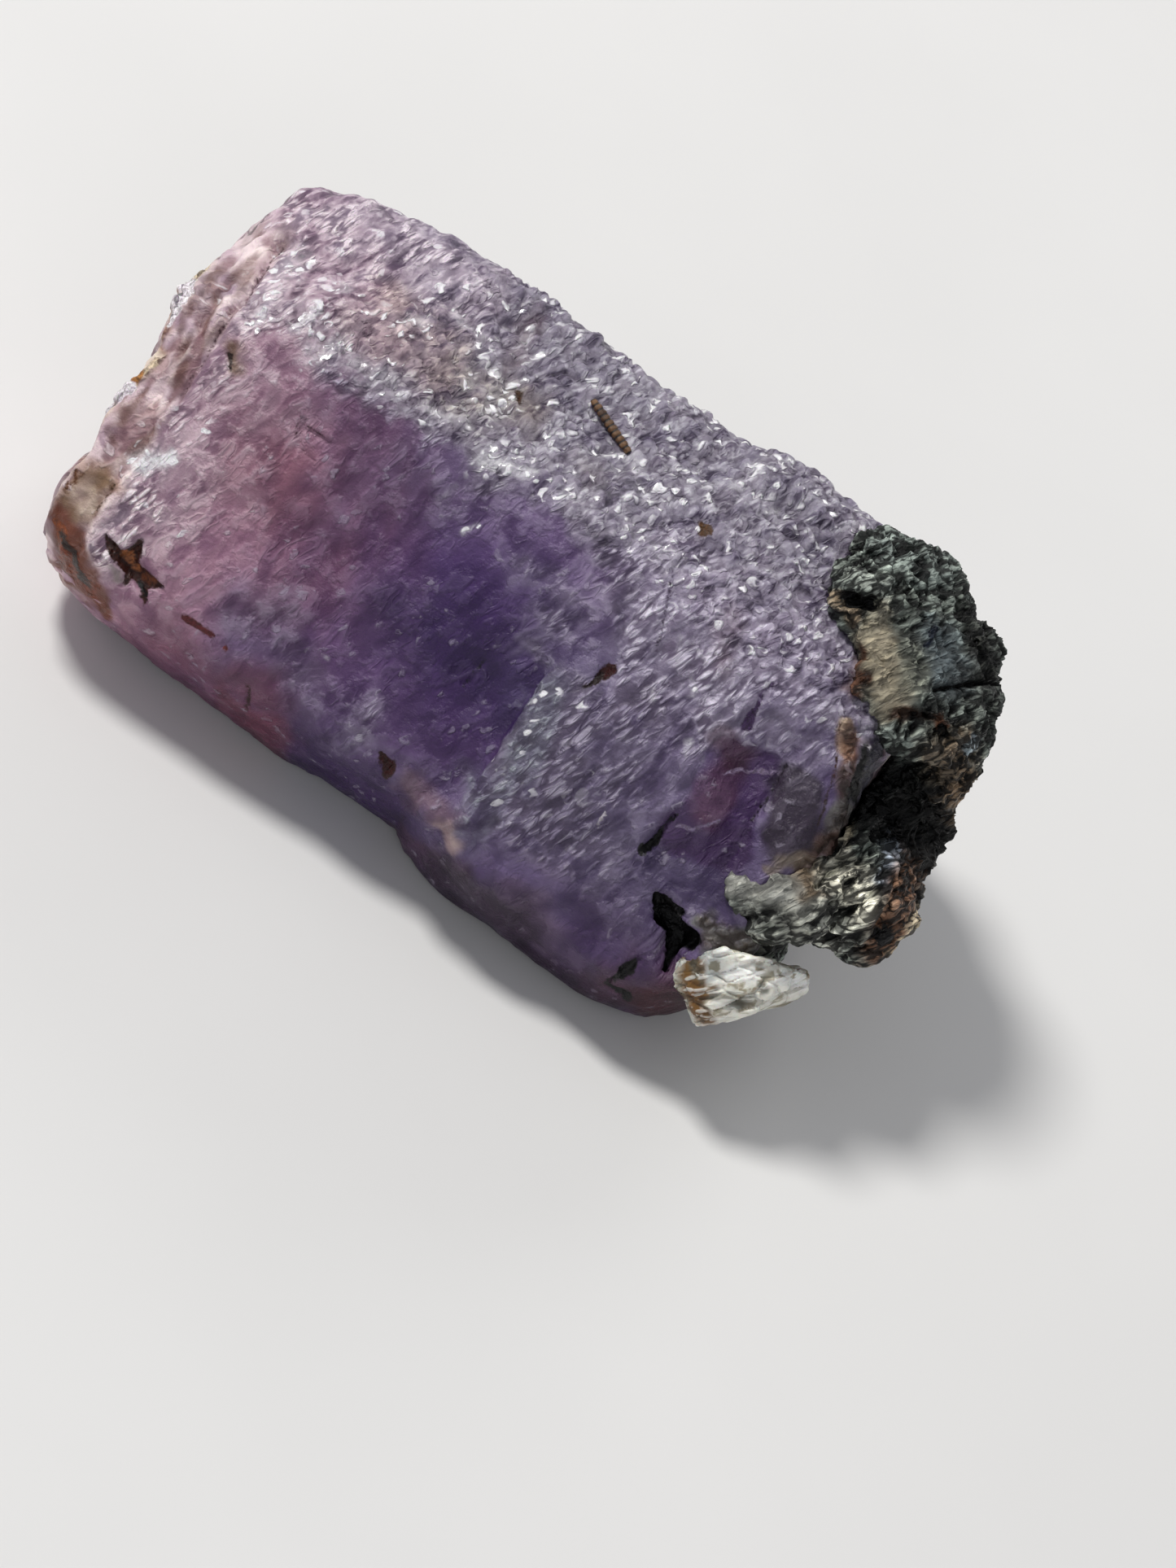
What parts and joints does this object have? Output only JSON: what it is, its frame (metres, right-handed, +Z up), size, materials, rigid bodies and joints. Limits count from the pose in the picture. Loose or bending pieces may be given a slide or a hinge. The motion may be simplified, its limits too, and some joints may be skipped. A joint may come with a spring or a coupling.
{
  "type": "rough sapphire crystal",
  "caption": "Rough violet sapphire crystal: a stout, water-worn hexagonal prism lying on a long face, with grey-green host rock and a pale feldspar chip at its broken end.",
  "frame": {"origin": "on the surface the crystal lies on, below the centre of the whole object's bounding box", "axes": "+X along the prism axis, from the clean end towards the end that carries the host rock; -Y is the front, the side of the broad smooth prism face; +Z up, away from the prism face that the crystal lies on"},
  "size_m": [0.022, 0.0124, 0.0108],
  "materials": {
    "sapphire": "translucent, frosted and finely striated",
    "host_rock": "rough, granular",
    "feldspar": "rough, slightly glossy"
  },
  "bodies": {
    "root": {"sapphire_crystal": "sapphire", "host_rock": "host_rock", "feldspar_chip": "feldspar"}
  },
  "joints": []
}
